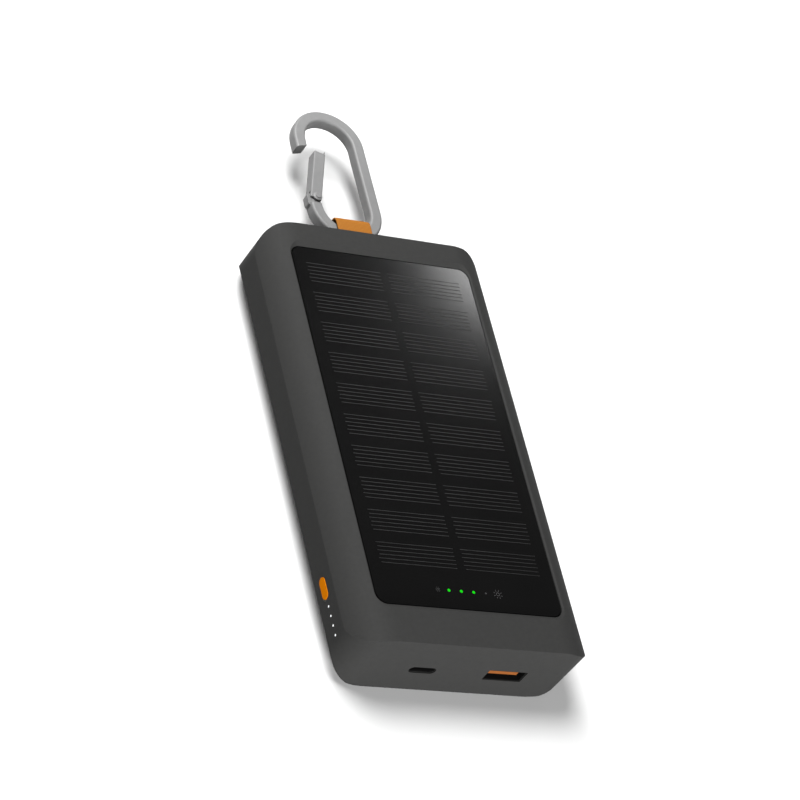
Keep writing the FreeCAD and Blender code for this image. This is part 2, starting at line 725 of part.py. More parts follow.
def make_leads():
    """Leads from the battery guard and the panel to their sockets on the main board."""
    top = number("main_top + socket_height")
    socket = number("socket_place")
    bend = number("lead_bend")
    spacing = number("lead_spacing")
    board_face = number("cell_pack_middle - cell_pack_length / 2 - guard_shift - 0.5")
    level = number("battery_lead_level")
    for colour, sign in (("black", -1), ("red", 1)):
        x = number("battery_socket") + sign * spacing
        start_x = x - 10
        run = board_face - 2.3 + sign * 0.9
        points = [Vector(start_x, board_face, level), Vector(start_x, run, level), Vector(x, run, level)]
        points += [Vector(x, socket, level), Vector(x, socket, top)]
        lead(f"battery_lead_{colour}", points, number("battery_lead_radius"), bend)
    panel_low = number(f"{RECESS_LOW} + tape_thickness")
    slot = number("wire_slot_place")
    for colour, sign in (("black", -1), ("red", 1)):
        x = number("solar_socket") + sign * spacing
        start_x = sign * spacing
        level = number("solar_lead_level") - sign * 0.8
        points = [Vector(start_x, slot, panel_low), Vector(start_x, slot, level), Vector(x, slot, level)]
        points += [Vector(x, socket, level), Vector(x, socket, top)]
        lead(f"solar_lead_{colour}", points, number("solar_lead_radius"), bend)


STRAP_LEFT = "strap_shift - strap_width / 2"


def make_strap_root():
    """The part of the strap inside the housing, doubled round its anchor pin."""
    root_end = "strap_hinge - strap_sheet - 0.1"
    middle = ("strap_shift", f"(anchor_place + {root_end}) / 2")
    size = ("strap_width", f"{root_end} - anchor_place", "2 * strap_sheet")
    neck = box("root_neck", size, middle, "mid_level - strap_sheet")
    wrap_at = (STRAP_LEFT, "anchor_place", "mid_level")
    wrap = rod("root_wrap", "anchor_radius + strap_sheet", "strap_width", wrap_at, "X")
    eye_at = (f"{STRAP_LEFT} - 1", "anchor_place", "mid_level")
    eye = rod("root_eye", "anchor_radius + 0.02", "strap_width + 2", eye_at, "X")
    label(cut("strap_root_shape", fuse("root_solid", neck, wrap), eye), "strap_root")
    pin_at = ("strap_shift - anchor_length / 2", "anchor_place", "mid_level")
    label(rod("anchor_pin_rod", "anchor_radius", "anchor_length", pin_at, "X"), "strap_anchor_pin")


def make_strap_loop():
    """The loop outside the housing, which holds the carabiner and bends at the wall."""
    nose = rod("loop_nose", "strap_sheet", "strap_width", (STRAP_LEFT, "strap_hinge", "mid_level"), "X")
    web_length = "strap_shoulder - strap_hinge + 1"
    web_middle = ("strap_shift", f"strap_hinge + ({web_length}) / 2")
    web_size = ("strap_width", web_length, "2 * strap_sheet")
    web = box("loop_web", web_size, web_middle, "mid_level - strap_sheet")
    depth = "ring_thickness + 0.4 + 2 * strap_sheet"
    length = "strap_top - strap_shoulder"
    loop_at = (STRAP_LEFT, "(strap_top + strap_shoulder) / 2", "mid_level")
    loop = prism("loop_block", depth, length, "1.9", "strap_width", loop_at, "X")
    eye_low = "ring_start - 0.15"
    eye_high = "strap_top - strap_sheet"
    eye = ("ring_thickness + 0.4", f"{eye_high} - ({eye_low})", "0.7", "strap_width + 2")
    eye_at = (f"{STRAP_LEFT} - 1", f"({eye_low} + {eye_high}) / 2", "mid_level")
    opening = prism("loop_eye", *eye, eye_at, "X")
    label(cut("strap_loop_shape", fuse("loop_solid", nose, web, loop), opening), "strap_loop")


BAR_LEFT = "ring_shift - ring_width / 2"
PIVOT_X = f"{BAR_LEFT} + 2.8"


def soften(body, pad, radius):
    """Rounds the edges round both flat ends of a pad."""
    DOC.recompute()
    flat_edges = []
    for index, part_edge in enumerate(pad.Shape.Edges, start=1):
        if abs(part_edge.BoundBox.ZLength) < 0.01:
            flat_edges.append(f"Edge{index}")
    edge = body.newObject("PartDesign::Fillet", body.Name + "_edges")
    edge.Base = (pad, flat_edges)
    bind(edge, Radius=radius)


def make_carabiner():
    """The flat-sided carabiner: a stadium of square bar with its gate gap, tongue and rivet hole."""
    body = DOC.addObject("PartDesign::Body", "carabiner_body_shape")
    ring = new_sketch(body, "ring_outline")
    end_radius = "ring_width / 2 - 0.01"
    inner = ("ring_width - 2 * ring_bar", "ring_length - 2 * ring_bar", f"{end_radius} - ring_bar")
    rounded_outline(ring, "outer", "ring_width", "ring_length", end_radius)
    rounded_outline(ring, "inner", *inner)
    pad = body.newObject("PartDesign::Pad", "ring_pad")
    pad.Profile = ring
    pad.SideType = "Symmetric"
    bind(pad, Length="ring_thickness")
    soften(body, pad, "ring_edge")
    place(body, ("ring_shift", "ring_start + ring_length / 2", "mid_level"))
    low = "mid_level - tongue_thickness / 2"
    tongue_size = ("ring_bar - 1.8", "6", "tongue_thickness")
    tongue = box("tongue_bar", tongue_size, (PIVOT_X, "gate_pivot - 3"), low)
    head = rod("tongue_head", "rivet_head", "tongue_thickness", (PIVOT_X, "gate_pivot", low))
    knuckle_size = ("knuckle_width", "knuckle_length", "knuckle_width / 2 - 0.2", "tongue_thickness")
    knuckle_at = (f"{BAR_LEFT} - 0.6 + knuckle_width / 2", "gate_pivot + 1.2 - knuckle_length / 2", low)
    knuckle = prism("hinge_knuckle", *knuckle_size, knuckle_at)
    hole_at = (PIVOT_X, "gate_pivot", "mid_level - ring_thickness / 2 - 2")
    hole = rod("rivet_hole", "rivet_radius + 0.03", "ring_thickness + 4", hole_at)
    notch_size = ("2 * nose_notch", "2 * nose_slope", "ring_thickness + 2")
    notch_middle = (f"{BAR_LEFT} + ring_bar", "gate_pivot + gate_reach + 0.48 + nose_slope")
    notch = box("nose_bite", notch_size, notch_middle, "mid_level - ring_thickness / 2 - 1")
    solid = fuse("ring_solid", cut("ring_open", body, gate_gap(), notch), tongue, head, knuckle)
    label(cut("ring_drilled", solid, hole), "carabiner_body")


def gate_gap():
    """The space that the gate closes, with its sloping end under the nose."""
    side = number(BAR_LEFT)
    low = number("gate_pivot - 2.6")
    high = number("gate_pivot + gate_reach + 0.48")
    bar = number("ring_bar")
    slope = number("nose_slope")
    height = number("ring_thickness") + 2
    inner = side + bar + 1
    outer = side - 1
    corners = [(outer, low), (inner, low), (inner, high + slope), (outer, high - 0.25)]
    base = number("mid_level") - height / 2
    outline = [Vector(x, y, base) for x, y in corners]
    item = DOC.addObject("Part::Feature", "gate_gap")
    item.Shape = Part.Face(Part.makePolygon(outline + outline[:1])).extrude(Vector(0, 0, height))
    item.Placement = Placement()
    return item


def make_gate():
    """The gate: a folded channel on its domed rivet, swung inwards as it rests."""
    thick = "ring_thickness"
    base = f"-{thick} / 2"
    length = "gate_reach + gate_tail"
    middle = ("-gate_lead", "(gate_reach - gate_tail) / 2")
    straight = prism("gate_block", "gate_width", length, "0.3", thick, (*middle, base))
    soften(straight, straight.Tip, "gate_edge")
    round_end = rod("gate_round_end", "gate_width / 2 - gate_lead", thick, ("0", "0", base))
    inside = f"{thick} - 2 * gate_sheet"
    inside_low = f"{base} + gate_sheet"
    slot_at = ("gate_sheet - gate_lead", "(gate_reach - gate_tip - 8) / 2")
    slot = box("gate_slot", ("gate_width", "gate_reach - gate_tip + 8", inside), slot_at, inside_low)
    web_end_size = ("gate_width + 2", "8", inside)
    web_end = box("gate_web_end", web_end_size, ("-gate_lead", "web_start - 4"), inside_low)
    hole = rod("gate_hole", "rivet_radius + 0.03", f"{thick} + 2", ("0", "0", f"{base} - 1"))
    channel = cut("gate_channel", fuse("gate_blank", straight, round_end), slot, web_end, hole)
    gate = fuse("gate_shape", channel, latch_tooth())
    label(gate, "carabiner_gate")
    shank = rod("rivet_shank", "rivet_radius", f"{thick} + 0.8", ("0", "0", f"{base} - 0.4"))
    heads = [rivet_dome(f"rivet_head_{side + 1}", side) for side in (-1, 1)]
    rivet = fuse("rivet_shape", shank, *heads)
    label(rivet, "gate_rivet")
    swing = Rotation(Vector(0, 0, 1), -number("gate_open"))
    for item in (gate, rivet):
        place(item, (PIVOT_X, "gate_pivot", "mid_level"), swing)
    make_spring(swing)


def latch_tooth():
    """The small pointed tooth on the gate's tip, which closes behind the nose."""
    right = number("gate_width / 2 - gate_lead")
    left = right - number("tooth_width")
    low = number("gate_reach - gate_edge")
    top = number("gate_reach + tooth_height")
    height = number("ring_thickness - 2 * gate_sheet")
    base = -height / 2
    outline = [Vector(left, low, base), Vector(right, low, base), Vector(right, top, base)]
    item = DOC.addObject("Part::Feature", "latch_tooth")
    item.Shape = Part.Face(Part.makePolygon(outline + outline[:1])).extrude(Vector(0, 0, height))
    item.Placement = Placement()
    return item


def rivet_dome(name, side):
    """A low domed head on one end of the rivet: a slice of a sphere."""
    ball_radius = "(rivet_head^2 + rivet_dome^2) / (2 * rivet_dome)"
    face = "(ring_thickness / 2 + 0.02)"
    ball = DOC.addObject("Part::Sphere", name + "_ball")
    bind(ball, Radius=ball_radius)
    place(ball, ("0", "0", f"{side} * ({face} + rivet_dome - {ball_radius})"))
    low = face if side > 0 else f"-{face} - rivet_dome"
    disc = rod(name + "_disc", "rivet_head", "rivet_dome", ("0", "0", low))
    item = DOC.addObject("Part::MultiCommon", name)
    item.Shapes = [ball, disc]
    return item


def make_spring(swing):
    """The coil spring that rides in the gate's channel."""
    radius = number("spring_radius")
    helix = Part.makeHelix(number("spring_pitch"), number("spring_length"), radius)
    section = Part.makeCircle(number("spring_wire"), Vector(radius, 0, 0), Vector(0, 1, 0))
    coil = DOC.addObject("Part::Feature", "spring_coil")
    coil.Shape = Part.Wire(helix.Edges).makePipeShell([Part.Wire(section)], True, True)
    pivot = Vector(number(PIVOT_X), number("gate_pivot"), number("mid_level"))
    offset = swing.multVec(Vector(0.1, 3.2, 0))
    coil.Placement = Placement(pivot + offset, swing * Rotation(Vector(1, 0, 0), -90))
    label(coil, "gate_spring")


def check_and_export():
    """Stops on any failed object or bad shape, then writes one STEP file for each sub-part."""
    DOC.recompute()
    for item in DOC.Objects:
        if "Invalid" in item.State or "Error" in item.State:
            raise RuntimeError(f"{item.Name} failed: {item.State}")
    os.makedirs("parts", exist_ok=True)
    for item in PARTS:
        shape = item.Shape
        if shape.isNull() or not shape.isValid() or not shape.Solids:
            raise RuntimeError(f"{item.Label} has no valid solid")
        shape.exportStep(f"parts/{item.Label}.step")
        extent = shape.BoundBox
        print(f"{item.Label:22s} solids {len(shape.Solids):2d}  volume {shape.Volume:10.1f}", end="  ")
        print(f"x {extent.XMin:.2f} {extent.XMax:.2f}  y {extent.YMin:.2f} {extent.YMax:.2f}", end="  ")
        print(f"z {extent.ZMin:.2f} {extent.ZMax:.2f}")


fill_sheet()
make_front_cover()
make_rear_cover()
make_fasteners()
make_panel()
make_usb_a()
make_usb_c()
make_main_board()
make_button()
make_level_lights()
make_battery()
make_leads()
make_strap_root()
make_strap_loop()
make_carabiner()
make_gate()
check_and_export()
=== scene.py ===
"""Looks of the solar phone charger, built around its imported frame. Metres, +Z out of the solar panel."""
import json
import math

import bmesh
import bpy
from mathutils import Matrix, Vector


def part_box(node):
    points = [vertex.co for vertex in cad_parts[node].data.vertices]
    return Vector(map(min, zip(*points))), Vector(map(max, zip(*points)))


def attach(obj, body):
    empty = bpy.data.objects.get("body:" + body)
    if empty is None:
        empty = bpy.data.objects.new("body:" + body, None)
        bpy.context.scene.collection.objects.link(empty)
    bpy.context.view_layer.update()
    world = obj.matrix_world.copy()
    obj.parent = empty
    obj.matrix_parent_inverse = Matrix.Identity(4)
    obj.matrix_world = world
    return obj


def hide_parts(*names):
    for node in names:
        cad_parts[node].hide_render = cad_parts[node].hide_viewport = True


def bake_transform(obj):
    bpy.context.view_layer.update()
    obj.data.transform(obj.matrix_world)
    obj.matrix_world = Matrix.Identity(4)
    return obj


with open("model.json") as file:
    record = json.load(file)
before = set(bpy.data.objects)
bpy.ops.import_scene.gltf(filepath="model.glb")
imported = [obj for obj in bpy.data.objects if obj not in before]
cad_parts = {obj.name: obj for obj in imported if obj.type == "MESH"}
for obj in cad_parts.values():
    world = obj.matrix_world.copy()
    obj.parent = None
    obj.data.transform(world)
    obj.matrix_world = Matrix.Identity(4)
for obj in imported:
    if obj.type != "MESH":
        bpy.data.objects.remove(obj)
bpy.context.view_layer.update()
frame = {"nodes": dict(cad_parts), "record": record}
NODES = frame["nodes"]
MM = 0.001
PRINT_FOOT = -0.02 * MM      # printed lines and marks start this far under the film's surface
PRINT_TOP = 0.012 * MM       # and stand this far above it


# ---------------------------------------------------------------- materials

def new_material(name, colour, roughness, metallic=0.0, specular=0.5):
    """A Principled material with its plain values set on the shader's own sockets."""
    material = bpy.data.materials.new(name)
    material.use_nodes = True
    shader = material.node_tree.nodes["Principled BSDF"]
    shader.inputs["Base Color"].default_value = (*colour, 1)
    shader.inputs["Roughness"].default_value = roughness
    shader.inputs["Metallic"].default_value = metallic
    shader.inputs["Specular IOR Level"].default_value = specular
    return material


def add_node(material, kind, **properties):
    """Adds a shader node and sets its properties."""
    node = material.node_tree.nodes.new(kind)
    for key, value in properties.items():
        setattr(node, key, value)
    return node


def link(material, source, output, target, socket):
    """Joins one node's output to another's input."""
    material.node_tree.links.new(source.outputs[output], target.inputs[socket])


def noise(material, scale, detail):
    """Noise in the object's own coordinates, with features about 1/scale metres across."""
    place = add_node(material, "ShaderNodeTexCoord")
    texture = add_node(material, "ShaderNodeTexNoise")
    texture.inputs["Scale"].default_value = scale
    texture.inputs["Detail"].default_value = detail
    link(material, place, "Object", texture, "Vector")
    return texture


def vary_roughness(material, texture, low, high):
    """Varies the roughness between two values by a texture."""
    ramp = add_node(material, "ShaderNodeMapRange")
    ramp.inputs["To Min"].default_value = low
    ramp.inputs["To Max"].default_value = high
    link(material, texture, "Fac", ramp, "Value")
    link(material, ramp, "Result", material.node_tree.nodes["Principled BSDF"], "Roughness")


def tint(material, texture, dark, light, output="Fac"):
    """Colours the surface between two tones by a texture."""
    ramp = add_node(material, "ShaderNodeValToRGB")
    ramp.color_ramp.elements[0].color = (*dark, 1)
    ramp.color_ramp.elements[1].color = (*light, 1)
    link(material, texture, output, ramp, "Fac")
    link(material, ramp, "Color", material.node_tree.nodes["Principled BSDF"], "Base Color")


def bump(material, texture, depth, output="Fac", strength=1.0):
    """Raises the surface by a texture, depth in metres."""
    node = add_node(material, "ShaderNodeBump")
    node.inputs["Strength"].default_value = strength
    node.inputs["Distance"].default_value = depth
    link(material, texture, output, node, "Height")
    link(material, node, "Normal", material.node_tree.nodes["Principled BSDF"], "Normal")


def housing_plastic():
    """Dark grey moulded plastic with a fine spark-eroded grain."""
    material = new_material("housing", (0.016, 0.016, 0.016), 0.55, specular=0.02)
    tint(material, noise(material, scale=900, detail=3), (0.0136, 0.0136, 0.0133), (0.0172, 0.0172, 0.0169))
    vary_roughness(material, noise(material, scale=260, detail=2), 0.5, 0.62)
    bump(material, noise(material, scale=5200, detail=2), depth=0.00002)
    return material


def solar_film():
    """Satin black film, very slightly uneven."""
    material = new_material("solar_film", (0.0008, 0.0008, 0.0008), 0.13, specular=0.5)
    tint(material, noise(material, scale=60, detail=2), (0.0006, 0.0006, 0.0006), (0.0012, 0.0012, 0.0012))
    vary_roughness(material, noise(material, scale=1800, detail=3), 0.09, 0.125)
    bump(material, noise(material, scale=3000, detail=2), depth=0.000004)
    return material


def finger_silver():
    """The dim print of the cells' fingers, seen through the film."""
    material = new_material("cell_fingers", (0.018, 0.018, 0.018), 0.4, specular=0.3)
    tint(material, noise(material, scale=700, detail=2), (0.0016, 0.0016, 0.0016), (0.0026, 0.0026, 0.0026))
    return material


def satin_aluminium():
    """Bead-blasted, clear-anodised aluminium."""
    material = new_material("carabiner_metal", (0.13, 0.13, 0.13), 0.58, metallic=0.15, specular=0.1)
    tint(material, noise(material, scale=500, detail=3), (0.095, 0.095, 0.095), (0.114, 0.114, 0.114))
    vary_roughness(material, noise(material, scale=2600, detail=3), 0.5, 0.58)
    bump(material, noise(material, scale=6000, detail=2), depth=0.000008)
    return material


def orange_plastic():
    """Satin orange plastic, for the button."""
    material = new_material("orange_plastic", (0.31, 0.09, 0.001), 0.5, specular=0.0)
    tint(material, noise(material, scale=900, detail=2), (0.265, 0.076, 0.001), (0.29, 0.084, 0.0012))
    bump(material, noise(material, scale=5000, detail=2), depth=0.00001)
    return material


def woven_orange():
    """Orange webbing: a fine plain weave in two crossing waves."""
    material = new_material("orange_strap", (0.33, 0.13, 0.035), 0.72, specular=0.1)
    place = add_node(material, "ShaderNodeTexCoord")
    across = add_node(material, "ShaderNodeTexWave", bands_direction="X")
    along = add_node(material, "ShaderNodeTexWave", bands_direction="Y")
    for wave in (across, along):
        wave.inputs["Scale"].default_value = 620
        link(material, place, "UV", wave, "Vector")
    weave = add_node(material, "ShaderNodeMath", operation="MULTIPLY")
    link(material, across, "Fac", weave, 0)
    link(material, along, "Fac", weave, 1)
    tint(material, weave, (0.14, 0.050, 0.005), (0.21, 0.081, 0.010), "Value")
    bump(material, weave, depth=0.00003, output="Value", strength=0.5)
    return material


def grained(name, colour, roughness, metallic=0.0, specular=0.5, scale=1500, depth=0.000008):
    """A plain moulded, painted or rolled finish with a small grain and tone variation."""
    material = new_material(name, colour, roughness, metallic, specular)
    dark = tuple(0.85 * c for c in colour)
    light = tuple(min(1.0, 1.12 * c) for c in colour)
    tint(material, noise(material, scale=scale / 3, detail=3), dark, light)
    vary_roughness(material, noise(material, scale=scale, detail=2), roughness - 0.05, roughness + 0.06)
    bump(material, noise(material, scale=scale * 2, detail=2), depth)
    return material


def glowing(name, colour, strength):
    """A small lit lens: its own light outshines its dim body."""
    material = grained(name, tuple(0.1 * c for c in colour), 0.3, specular=0.0)
    shader = material.node_tree.nodes["Principled BSDF"]
    shader.inputs["Emission Color"].default_value = (*colour, 1)
    shader.inputs["Emission Strength"].default_value = strength
    return material


HOUSING = housing_plastic()
FILM = solar_film()
FINGERS = finger_silver()
METAL = satin_aluminium()
ORANGE = orange_plastic()
WEBBING = woven_orange()
STEEL = grained("steel", (0.45, 0.45, 0.46), 0.3, metallic=1.0)
DARK_STEEL = grained("dark_steel", (0.06, 0.06, 0.06), 0.4, metallic=1.0)
BLACK = grained("black_plastic", (0.015, 0.015, 0.015), 0.45)
RUBBER = grained("black_rubber", (0.02, 0.02, 0.02), 0.75, specular=0.3)
BOARD = grained("board", (0.015, 0.12, 0.05), 0.4)
CREAM = grained("cream_plastic", (0.7, 0.66, 0.55), 0.5)
FOIL = grained("pouch_foil", (0.7, 0.7, 0.72), 0.35, metallic=0.8, scale=300)
SILICON = grained("silicon", (0.01, 0.012, 0.03), 0.25)
RED_SLEEVE = grained("red_insulation", (0.5, 0.02, 0.02), 0.5)
BLACK_SLEEVE = grained("black_insulation", (0.02, 0.02, 0.02), 0.5)
GREEN_LIGHT = glowing("green_lens", (0.009, 0.58, 0.009), 1.0)
DARK_LENS = grained("dark_lens", (0.018, 0.018, 0.018), 0.4, specular=0.0)
# a darker copy of the orange plastic: painted shade for the USB-A tongue inside its port
SHADED_TONGUE_ORANGE = grained("tongue_orange_painted_shade", (0.1, 0.031, 0.006), 0.5, specular=0.06)
WHITE_LIGHT = glowing("clear_lens", (0.85, 0.86, 0.86), 1.3)
PRINT = grained("print", (0.016, 0.016, 0.016), 0.6)
# light grey that paints the highlight where the button's recess edge catches light
RECESS_HIGHLIGHT_GREY = grained("painted_highlight_grey", (0.06, 0.062, 0.055), 0.6, specular=0.0)
CHIP = grained("led_chip", (0.8, 0.75, 0.4), 0.4)

FINISHES = {
    "housing": HOUSING, "steel": STEEL, "black_rubber": RUBBER, "solar_film": FILM, "silicon": SILICON,
    "board": BOARD, "foam_tape": RUBBER, "orange_plastic": ORANGE, "black_plastic": BLACK,
    "cream_plastic": CREAM, "green_lens": GREEN_LIGHT, "led_chip": CHIP, "clear_lens": WHITE_LIGHT,
    "pouch_foil": FOIL, "tab_metal": STEEL, "black_insulation": BLACK_SLEEVE,
    "red_insulation": RED_SLEEVE, "orange_strap": WEBBING, "carabiner_metal": METAL,
}


def paint(item, material):
    """Gives an object one material."""
    item.data.materials.clear()
    item.data.materials.append(material)


for entry in frame["record"]["subparts"]:
    paint(NODES[entry["node"]], FINISHES[entry["material_slot"]])
paint(NODES["usb_a_shell"], DARK_STEEL)
paint(NODES["usb_c_shell"], DARK_STEEL)
paint(NODES["gate_rivet"], METAL)
# the tongue takes the darker orange, which paints the shade inside the port
paint(NODES["usb_a_tongue"], SHADED_TONGUE_ORANGE)


# ---------------------------------------------------------------- helpers for new pieces

def finish_piece(name, mesh, material, body, smooth=True):
    """Links a bmesh as an object with the given material, riding on a body when one is given."""
    data = bpy.data.meshes.new(name)
    bmesh.ops.recalc_face_normals(mesh, faces=mesh.faces)
    mesh.to_mesh(data)
    mesh.free()
    for face in data.polygons:
        face.use_smooth = smooth
    item = bpy.data.objects.new(name, data)
    bpy.context.scene.collection.objects.link(item)
    data.materials.append(material)
    if body:
        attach(item, body)
    return item


def extrude_outline(mesh, outline, low, high, to_world):
    """A closed prism from a 2-D outline; to_world turns (u, v, w) into a point."""
    rings = []
    for level in (low, high):
        rings.append([mesh.verts.new(to_world(u, v, level)) for u, v in outline])
    count = len(outline)
    for index in range(count):
        following = (index + 1) % count
        mesh.faces.new((rings[0][index], rings[0][following], rings[1][following], rings[1][index]))
    mesh.faces.new(list(reversed(rings[0])))
    mesh.faces.new(rings[1])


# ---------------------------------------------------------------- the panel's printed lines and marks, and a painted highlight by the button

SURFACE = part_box("solar_window")[1].z
CELLS_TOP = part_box("solar_cells")[1].y
CELL_ROWS = 10
FINGER_COUNT = 6


def on_panel(u, v, w):
    """A point on the panel: u across, v along, w above its surface."""
    return Vector((u, v, SURFACE + w))


def cell_fingers():
    """Six fine lines across each of the twenty cells, with slightly uneven ends."""
    mesh = bmesh.new()
    cell_width = 25.8 * MM
    column_shift = 14.1 * MM
    pitch = 10.95 * MM
    first_line = 1.15 * MM
    spacing = 1.34 * MM
    half_line = 0.11 * MM
    left_short = 0.35 * MM
    right_short = 0.2 * MM
    for column in (-1, 1):
        middle_x = column * column_shift
        for row in range(CELL_ROWS):
            top = CELLS_TOP - row * pitch - first_line
            for finger in range(FINGER_COUNT):
                y = top - finger * spacing
                x0 = middle_x - cell_width / 2 + (left_short if finger % 2 else 0)
                x1 = middle_x + cell_width / 2 - (right_short if finger % 3 else 0)
                low, high = y - half_line, y + half_line
                outline = [(x0, low), (x1, low), (x1, high), (x0, high)]
                extrude_outline(mesh, outline, PRINT_FOOT, PRINT_TOP, on_panel)
    finish_piece("cell_finger_lines", mesh, FINGERS, "housing", smooth=False)


def ring_outline(radius, count=24):
    """Points round a circle about the origin."""
    turns = [2 * math.pi * step / count for step in range(count)]
    return [(radius * math.cos(turn), radius * math.sin(turn)) for turn in turns]


def arc_piece(x, y, inner, outer, start, end):
    """One straight-sided piece of a ring, as four corners."""
    corners = ((inner, start), (outer, start), (outer, end), (inner, end))
    return [(x + radius * math.cos(turn), y + radius * math.sin(turn)) for radius, turn in corners]


def sun_mark(name, x, y, scale):
    """A generic sun: a small ring with eight rays."""
    mesh = bmesh.new()
    inner, outer, rays, ray_out, half = (scale * size * MM for size in (0.46, 0.57, 0.98, 1.5, 0.06))
    steps = 24
    for index in range(steps):
        start = 2 * math.pi * index / steps
        end = 2 * math.pi * (index + 1) / steps
        quad = arc_piece(x, y, inner, outer, start, end)
        extrude_outline(mesh, quad, PRINT_FOOT, PRINT_TOP, on_panel)
    ray_count = 8
    for index in range(ray_count):
        angle = 2 * math.pi * (index + 0.5) / ray_count
        along = Vector((math.cos(angle), math.sin(angle)))
        side = Vector((-along.y, along.x)) * half
        quad = [along * rays - side, along * ray_out - side, along * ray_out + side, along * rays + side]
        extrude_outline(mesh, [(x + q.x, y + q.y) for q in quad], PRINT_FOOT, PRINT_TOP, on_panel)
    finish_piece(name, mesh, PRINT, "housing", smooth=False)


def painted_recess_highlight():
    """A painted highlight on the button's recess: a short light grey arc under the end nearer the ports,
    standing for its lit edge.
    """
    low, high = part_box("power_button")
    wall_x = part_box("front_cover")[0].x
    end_centre = 2.0 * MM        # from the button's middle to the centre of its round end
    end_y = (low.y + high.y) / 2 - end_centre
    end_z = (low.z + high.z) / 2
    inner, outer = 1.62 * MM, 1.92 * MM
    foot, top = -0.02 * MM, 0.015 * MM
    first, step_size, steps = 190, 8, 8
    mesh = bmesh.new()

    def on_wall(u, v, w):
        return Vector((wall_x - w, u, v))

    for step in range(steps):
        start = math.radians(first + step_size * step)
        end = math.radians(first + step_size * (step + 1))
        extrude_outline(mesh, arc_piece(end_y, end_z, inner, outer, start, end), foot, top, on_wall)
    finish_piece("button_painted_recess_highlight", mesh, RECESS_HIGHLIGHT_GREY, "housing", smooth=False)


LENS_LOW, LENS_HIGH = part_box("indicator_lenses")
ROW_Y = (LENS_LOW.y + LENS_HIGH.y) / 2
LENS_RADIUS = (LENS_HIGH.y - LENS_LOW.y) / 2
LENS_COUNT = 4
LENS_PITCH = (LENS_HIGH.x - LENS_LOW.x - 2 * LENS_RADIUS) / (LENS_COUNT - 1)


def indicator_domes():
    """The four lenses as low domes: three lit green, the last one dark and smaller."""
    dome_height = 0.12 * MM
    depth = 0.3 * MM
    levels = 5
    for index in range(LENS_COUNT):
        lit = index < LENS_COUNT - 1
        mesh = bmesh.new()
        x = LENS_LOW.x + LENS_RADIUS + index * LENS_PITCH
        dome_radius = LENS_RADIUS if lit else 0.7 * LENS_RADIUS
        outlines = [(ring_outline(LENS_RADIUS), -depth)]
        for step in range(levels):
            lift = step / levels
            outlines.append((ring_outline(dome_radius * math.sqrt(1 - lift * lift)), dome_height * lift))
        rings = []
        for points, level in outlines:
            rings.append([mesh.verts.new(on_panel(x + u, ROW_Y + v, level)) for u, v in points])
        for lower, upper in zip(rings, rings[1:]):
            for i in range(len(lower)):
                j = (i + 1) % len(lower)
                mesh.faces.new((lower[i], lower[j], upper[j], upper[i]))
        mesh.faces.new(rings[-1])
        mesh.faces.new(list(reversed(rings[0])))
        finish = GREEN_LIGHT if lit else DARK_LENS
        dome = finish_piece(f"indicator_dome_{index}", mesh, finish, "housing")
        if index == 0:
            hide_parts("indicator_lenses")


cell_fingers()
sun_mark("sun_mark", x=LENS_HIGH.x + 3.6 * MM, y=ROW_Y, scale=1.0)
sun_mark("small_sun_mark", x=LENS_LOW.x - 3.2 * MM, y=ROW_Y, scale=0.55)
indicator_domes()
# the light grey arc under the button is a painted highlight of the recess edge
painted_recess_highlight()


# ---------------------------------------------------------------- the strap

def strap_piece():
    """One band of webbing, doubled in the neck and open round the pin and the carabiner's bar.

    Its path lies in the (y, z) plane: round the pin, out of the case, round the bar and back.
    """
    loop_low, loop_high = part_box("strap_loop")
    pin_low, pin_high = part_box("strap_anchor_pin")
    sheet = 0.8 * MM                     # the webbing's thickness
    mid = (loop_low.z + loop_high.z) / 2
    pin_y = (pin_low.y + pin_high.y) / 2
    pin_r = (pin_high.z - pin_low.z) / 2 + sheet / 2
    half_loop = (loop_high.z - loop_low.z) / 2 - sheet / 2
    top = loop_high.y - sheet / 2
    shoulder = loop_low.y + 3.4 * MM
    neck = sheet / 2 + 0.01 * MM         # the two layers all but touch in the neck
    neck_start = pin_y + 2.6 * MM
    neck_end = shoulder - 1.2 * MM
    flare = half_loop - 0.55 * MM        # each layer's distance from the middle, just past the shoulder
    flare_y = shoulder + 0.2 * MM
    open_y = shoulder + 1.1 * MM         # from here the loop has its full height
    corner = 1.8 * MM
    wrap_steps = 12
    corner_steps = 5
    path = []
    for step in range(wrap_steps + 1):
        angle = math.radians(90 + 180 * step / wrap_steps)
        path.append((pin_y + pin_r * math.cos(angle), mid + pin_r * math.sin(angle)))
    lower_half = [
        (neck_start, mid - neck),
        (neck_end, mid - neck),
        (flare_y, mid - flare),
        (open_y, mid - half_loop),
        (top - corner, mid - half_loop),
    ]
    for step in range(1, corner_steps + 1):
        angle = math.radians(-90 + 90 * step / corner_steps)
        y = top - corner + corner * math.cos(angle)
        z = mid - half_loop + corner + corner * math.sin(angle)
        lower_half.append((y, z))
    upper_half = [(y, 2 * mid - z) for y, z in reversed(lower_half)]
    points = [Vector((y, z)) for y, z in path + lower_half + upper_half]
    return band(points, sheet, loop_low.x, loop_high.x)


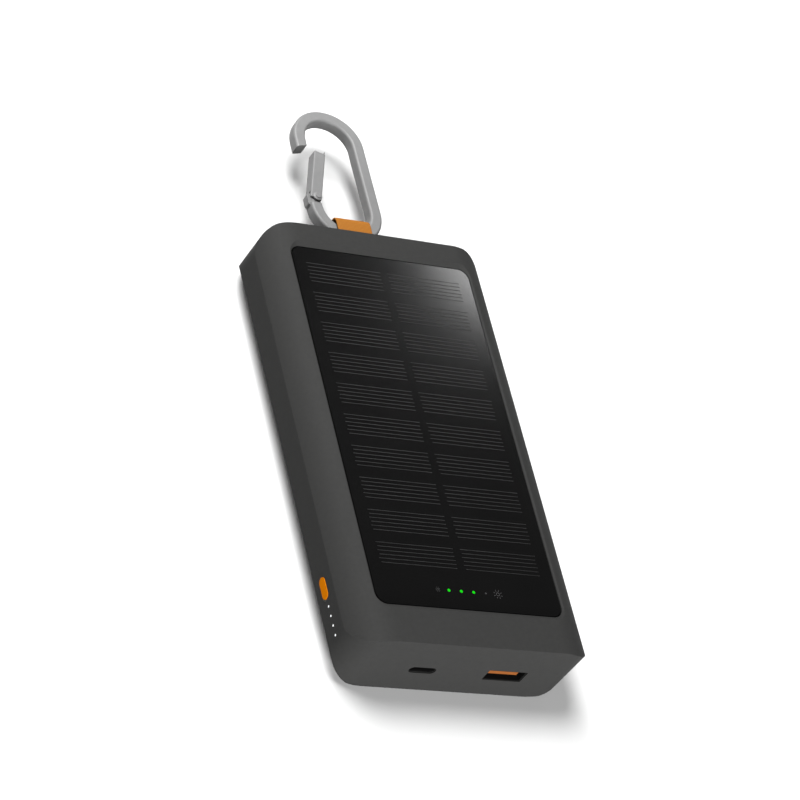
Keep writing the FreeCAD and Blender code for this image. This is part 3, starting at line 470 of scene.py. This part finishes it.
def band(points, sheet, x0, x1):
    """Sweeps a rounded flat section along a closed path in the (y, z) plane, with UVs in metres."""
    mesh = bmesh.new()
    uv = mesh.loops.layers.uv.new("weave")
    half = sheet / 2
    edge = half * 0.8            # how far in the rounding of each selvedge begins
    turn_in, turn_up = edge * 0.3, half * 0.75
    side = [(edge, half), (turn_in, turn_up), (0, 0), (turn_in, -turn_up), (edge, -half)]
    section = [(x0 + inset, offset) for inset, offset in side]
    section += [(x1 - inset, offset) for inset, offset in reversed(side)]
    count = len(points)
    rings = []
    travelled = [0.0]
    for index, point in enumerate(points):
        before, after = points[index - 1], points[(index + 1) % count]
        tangent = (after - before).normalized()
        normal = Vector((-tangent.y, tangent.x))
        ring = []
        for x, offset in section:
            spot = point - normal * offset
            ring.append(mesh.verts.new((x, spot.x, spot.y)))
        rings.append(ring)
        travelled.append(travelled[-1] + (after - point).length)
    for index in range(count):
        here, there = rings[index], rings[(index + 1) % count]
        for j in range(len(section)):
            k = (j + 1) % len(section)
            face = mesh.faces.new((here[j], here[k], there[k], there[j]))
            lengths = (travelled[index], travelled[index], travelled[index + 1], travelled[index + 1])
            for loop, length in zip(face.loops, lengths):
                loop[uv].uv = (loop.vert.co.x, length)
    return mesh


strap = finish_piece("webbing_strap", strap_piece(), WEBBING, None)
smoother = strap.modifiers.new("round", "SUBSURF")
smoother.levels = 2
smoother.render_levels = 2
bpy.context.view_layer.objects.active = strap
bpy.ops.object.select_all(action="DESELECT")
strap.select_set(True)
bpy.ops.object.modifier_apply(modifier="round")
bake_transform(strap)
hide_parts("strap_root", "strap_loop")


# ---------------------------------------------------------------- stage, light and camera

def build_floor():
    """A plain pale floor, wide enough to fill the view from any side."""
    mesh = bmesh.new()
    half = 6.0
    corners = ((-half, -half), (half, -half), (half, half), (-half, half))
    mesh.faces.new([mesh.verts.new((x, y, 0)) for x, y in corners])
    data = bpy.data.meshes.new("floor")
    mesh.to_mesh(data)
    mesh.free()
    floor = bpy.data.objects.new("floor", data)
    bpy.context.scene.collection.objects.link(floor)
    data.materials.append(new_material("floor", (0.36, 0.36, 0.36), 0.9, specular=0.0))


def softbox(name, place, target, size, power):
    """An oval area light in metres and watts, aimed at the target."""
    light = bpy.data.lights.new(name, "AREA")
    light.shape = "ELLIPSE"
    light.size = size[0]
    light.size_y = size[1]
    light.energy = power
    item = bpy.data.objects.new(name, light)
    item.location = place
    item.rotation_euler = (Vector(target) - Vector(place)).to_track_quat("-Z", "Y").to_euler()
    bpy.context.scene.collection.objects.link(item)


def build_lights():
    """Soft lights overhead and at both ends, and one that the film mirrors at its far corner."""
    softbox("overhead", place=(-0.5, 0.45, 1.3), target=(0, 0, 0), size=(0.7, 0.7), power=51)
    softbox("port_end", place=(-0.1, -1.5, 0.36), target=(0, -0.07, 0.012), size=(0.9, 0.4), power=88)
    softbox("far_end", place=(-0.12, 0.36, 0.28), target=(0, 0.08, 0.02), size=(0.16, 0.16), power=2.8)
    softbox("glare", place=(0.39, 0.43, 0.385), target=(0.02, 0.08, 0.02), size=(0.13, 0.13), power=0.4)
    world = bpy.data.worlds.new("studio")
    world.use_nodes = True
    world.node_tree.nodes["Background"].inputs["Color"].default_value = (1, 1, 1, 1)
    world.node_tree.nodes["Background"].inputs["Strength"].default_value = 0.1
    bpy.context.scene.world = world


def build_camera():
    """Looks down on the panel from the port end's left, with the carabiner at the top of the view."""
    camera = bpy.data.cameras.new("camera")
    camera.sensor_width = 36.0
    camera.lens = 145.36         # millimetres, fitted together with the pose below
    camera.clip_start = 0.01
    item = bpy.data.objects.new("camera", camera)
    place = (-0.48905, -0.48835, 0.67206)
    right = Vector((0.85528, -0.21443, 0.47172)).normalized()
    up = Vector((-0.10185, 0.82304, 0.55878)).normalized()
    back = right.cross(up)
    turn = Matrix((right, up, back)).transposed().to_4x4()
    item.matrix_world = Matrix.Translation(place) @ turn
    bpy.context.scene.collection.objects.link(item)
    bpy.context.scene.camera = item


build_floor()
build_lights()
build_camera()
bpy.context.scene.view_settings.view_transform = "Standard"
